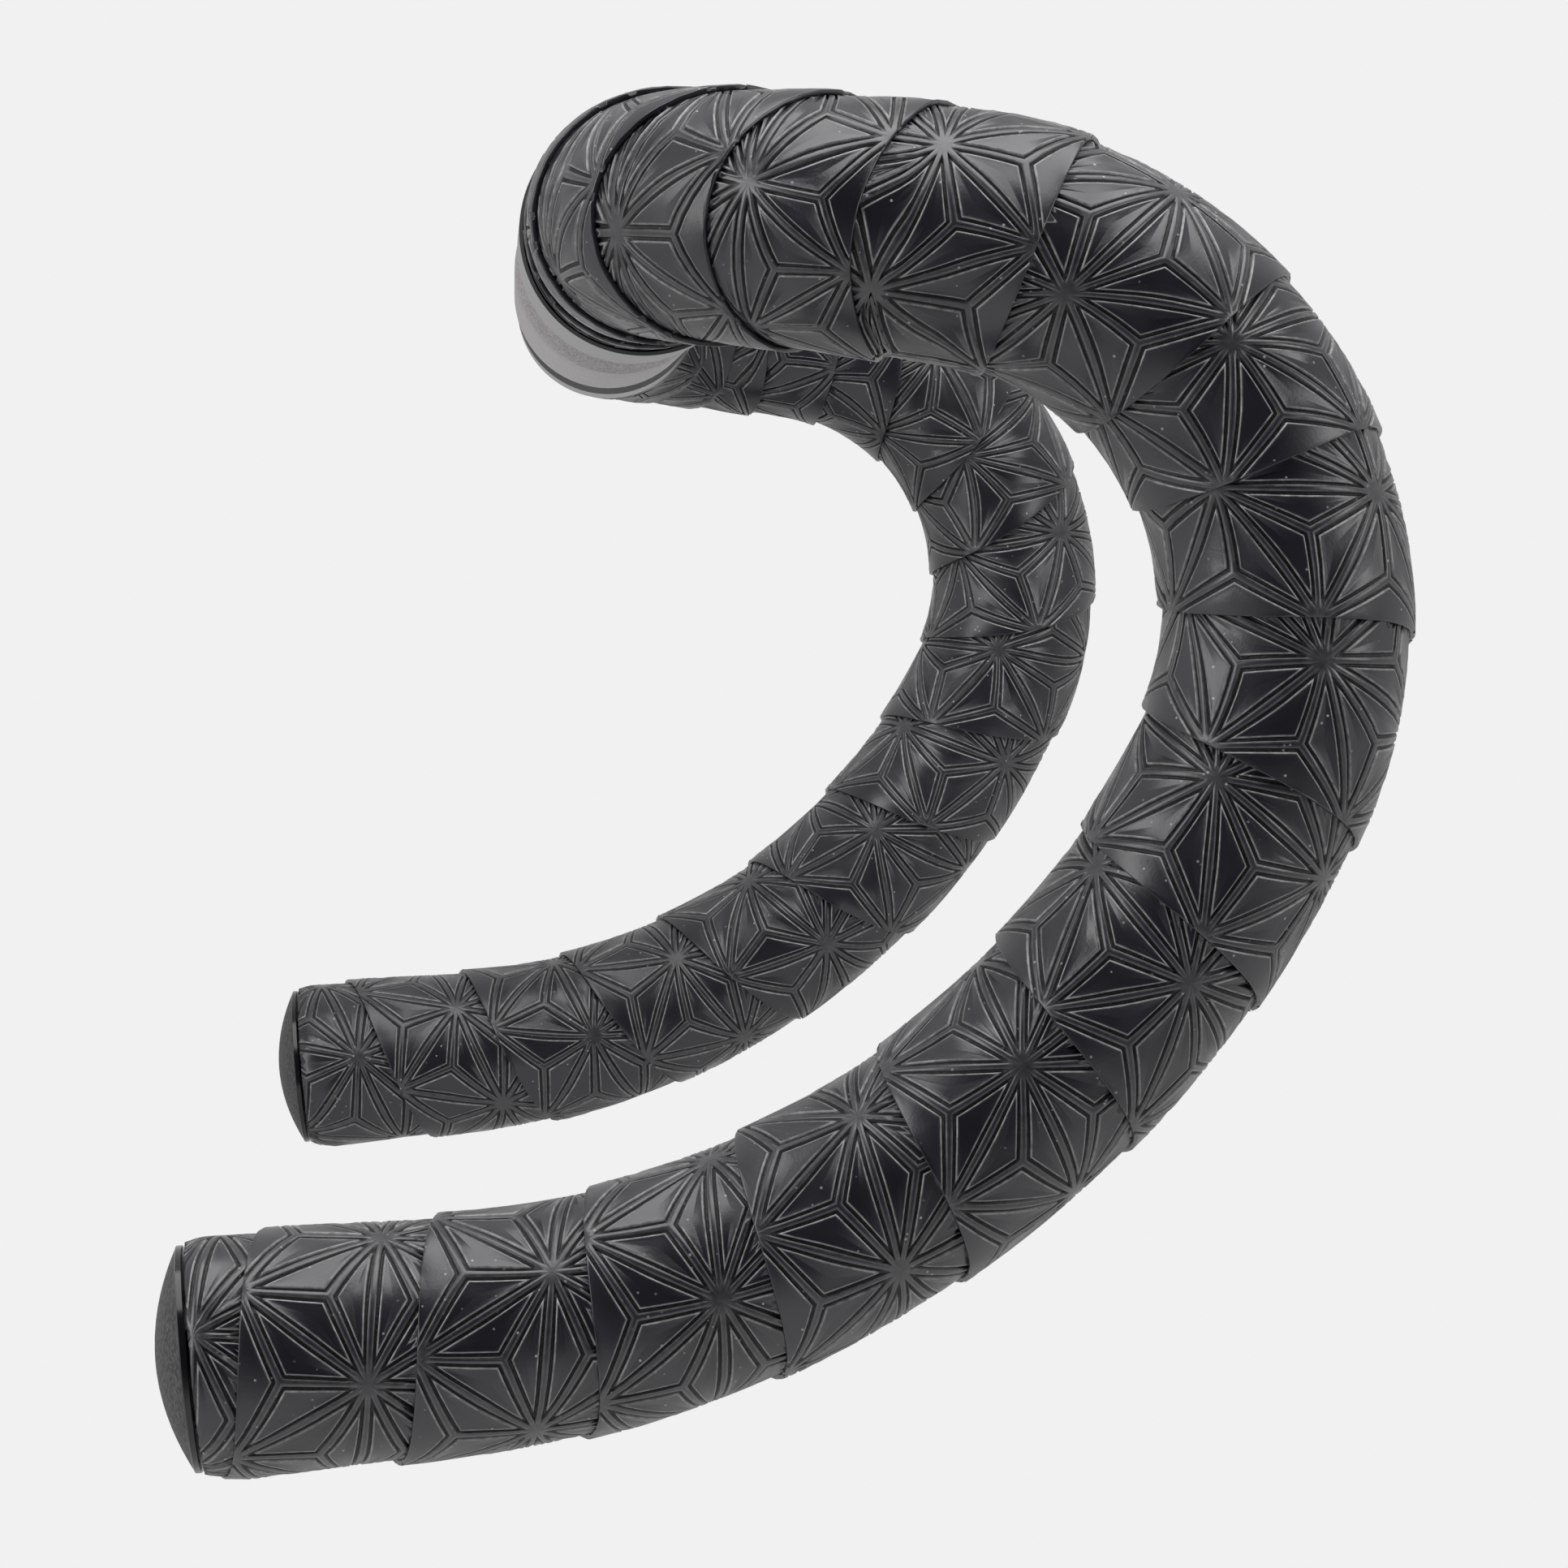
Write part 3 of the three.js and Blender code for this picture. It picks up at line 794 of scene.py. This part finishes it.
def band_profile():
    """Distance and radius round the thin sleeve over the cut end, stepping down to the bar"""
    on_bar = BAR_RADIUS + GAP
    drop_end = TAPE_STOP + GAP + BAND_SLOPE
    inner = [(s, float(tape_radius(s)) + GAP) for s in np.linspace(BAND_START, TAPE_STOP, 9)]
    inner.append((TAPE_STOP + GAP, float(tape_radius(TAPE_STOP)) + GAP))
    inner += [(drop_end, on_bar), (BAND_STOP, on_bar)]
    return inner + [(s, r + BAND_THICKNESS) for s, r in reversed(inner)]


for side, mirrored in (("right", False), ("left", True)):
    profile = plug_profile()
    sandy = [1.0 if s < -GAP - RIM_THICKNESS - 0.05 else 0.0 for s, _ in profile]
    piece = swept(f"plug_{side}", profile, 96, mirrored, sharp=40, grooves=sandy)
    piece.data.materials.append(plug_look)
    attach(piece, "root")
    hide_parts(f"end_plug_{side}")
    piece = swept(f"band_{side}", band_profile(), 96, mirrored, sharp=40, wrap=True)
    piece.data.materials.append(band_look)
    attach(piece, "root")
    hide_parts(f"finishing_tape_{side}")


def make_bar():
    """The hollow tube from end to end: the right half, and the same points mirrored"""
    around = 64
    spans = ((0, END_STRAIGHT, 17), (END_STRAIGHT, HOOK_START, 7), (HOOK_START, HOOK_END, 3.5),
             (HOOK_END, RAMP_END, 10), (RAMP_END, CORNER_END, 2.6), (CORNER_END, TAPER_START, 30),
             (TAPER_START, CLAMP_START, 1.2), (CLAMP_START, MIDDLE, 25))
    steps = np.array(even_steps(spans))
    grown = smooth_step((steps - TAPER_START) / TAPER_LENGTH)
    spin = np.arange(around) / around * 2 * math.pi
    rows, points, count = [], [], 0
    for small, large, inward in ((BAR_RADIUS, CLAMP_RADIUS, False), (BAR_BORE, CLAMP_BORE, True)):
        radius = small + (large - small) * grown
        half = surface(np.repeat(steps, around), np.tile(spin, len(steps)), np.repeat(radius, around))
        half = half.reshape(len(steps), around, 3)
        tube = np.concatenate([half, half[-2::-1] * [1, -1, 1]])
        if inward:
            tube = tube[::-1]
        points.append(tube.reshape(-1, 3))
        rows += [np.arange(around) + count + k * around for k in range(len(tube))]
        count += len(tube) * around
    rows.append(rows[0])
    return make_mesh("bar", np.concatenate(points), ring_faces(rows), sharp=40)


bar = make_bar()
bar.data.materials.append(bar_material())
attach(bar, "root")
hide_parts("handlebar")

# Floor, world and light

BACKGROUND = 0.879
FLOOR_HEIGHT, FLOOR_RADIUS = -0.36, 0.7


def make_floor():
    """A pale disc under the bar that fades into the backdrop at its rim"""
    mesh = bpy.data.meshes.new("floor")
    work = bmesh.new()
    bmesh.ops.create_circle(work, cap_ends=True, segments=96, radius=FLOOR_RADIUS)
    work.to_mesh(mesh)
    work.free()
    floor = bpy.data.objects.new("floor", mesh)
    floor.location = (0, 0, FLOOR_HEIGHT)
    bpy.context.scene.collection.objects.link(floor)
    made, tree, shader = material("floor_paper")
    shader.inputs["Base Color"].default_value = (0.86, 0.86, 0.86, 1)
    shader.inputs["Roughness"].default_value = 0.9
    shader.inputs["Specular IOR Level"].default_value = 0.1
    place = tree.nodes.new("ShaderNodeTexCoord").outputs["Object"]
    reach = node(tree, "ShaderNodeVectorMath", [("Vector", place)], operation="LENGTH")
    fade = node(tree, "ShaderNodeMapRange", [("Value", reach.outputs["Value"])],
                interpolation_type="SMOOTHSTEP")
    fade.inputs["From Min"].default_value = 0.45 * FLOOR_RADIUS
    fade.inputs["From Max"].default_value = 0.98 * FLOOR_RADIUS
    fade.inputs["To Min"].default_value = 1.0
    fade.inputs["To Max"].default_value = 0.0
    tree.links.new(fade.outputs["Result"], shader.inputs["Alpha"])
    mesh.materials.append(made)


def make_world():
    """Even light, a pale backdrop for the camera, and in reflections a sky that is dark on the bar's right"""
    world = bpy.data.worlds.new("studio")
    bpy.context.scene.world = world
    world.use_nodes = True
    tree = world.node_tree
    ambient = tree.nodes["Background"]
    ambient.inputs["Color"].default_value = (1, 1, 1, 1)
    ambient.inputs["Strength"].default_value = 0.25
    seen = node(tree, "ShaderNodeBackground", in_Color=(*grey(BACKGROUND), 1), in_Strength=1.0)
    sky = tree.nodes.new("ShaderNodeTexCoord").outputs["Generated"]
    front = node(tree, "ShaderNodeVectorMath", [(0, sky)], operation="DOT_PRODUCT")
    front.inputs[1].default_value = (0.05, -0.93, 0.36)
    mirrored = node(tree, "ShaderNodeBackground", in_Strength=1.0)
    stops = [(0.0, grey(0.7)), (0.5, grey(0.36)), (0.74, (0.15, 0.155, 0.175)), (0.88, grey(0.004))]
    darkness = ramp(tree, front.outputs["Value"], stops)
    tree.links.new(darkness, mirrored.inputs["Color"])
    rays = tree.nodes.new("ShaderNodeLightPath")
    mix = node(tree, "ShaderNodeMixShader", [(0, rays.outputs["Is Glossy Ray"])])
    tree.links.new(ambient.outputs[0], mix.inputs[1])
    tree.links.new(mirrored.outputs[0], mix.inputs[2])
    last = node(tree, "ShaderNodeMixShader", [(0, rays.outputs["Is Camera Ray"])])
    tree.links.new(mix.outputs[0], last.inputs[1])
    tree.links.new(seen.outputs[0], last.inputs[2])
    tree.links.new(last.outputs[0], tree.nodes["World Output"].inputs["Surface"])


def area_light(name, place, target, size, radiance):
    """A lamp that the camera doesn't see, turned to its target"""
    data = bpy.data.lights.new(name, "AREA")
    data.shape = "RECTANGLE"
    data.size, data.size_y = size
    data.energy = radiance * math.pi * size[0] * size[1]
    lamp = bpy.data.objects.new(name, data)
    ahead = np.array(target, float) - np.array(place, float)
    ahead /= np.linalg.norm(ahead)
    side = np.cross(ahead, [0, 0, 1.0])
    side = side / np.linalg.norm(side) if np.linalg.norm(side) > 1e-6 else np.array([1.0, 0, 0])
    up = np.cross(side, ahead)
    rows = [[side[i], up[i], -ahead[i], place[i]] for i in range(3)]
    lamp.matrix_world = Matrix(rows + [[0, 0, 0, 1]])
    lamp.visible_camera = False
    bpy.context.scene.collection.objects.link(lamp)


make_floor()
make_world()
area_light("top_light", (0.0, -0.36, 0.62), (0, -0.3, 0), (0.85, 0.8), 3.0)
area_light("left_light", (-0.78, -0.62, 0.06), (0.02, -0.15, -0.08), (0.36, 0.8), 3.5)
area_light("right_light", (0.8, -0.62, 0.22), (0.02, -0.15, -0.08), (0.36, 0.5), 3.5)

scene = bpy.context.scene
scene.view_settings.view_transform = "Standard"
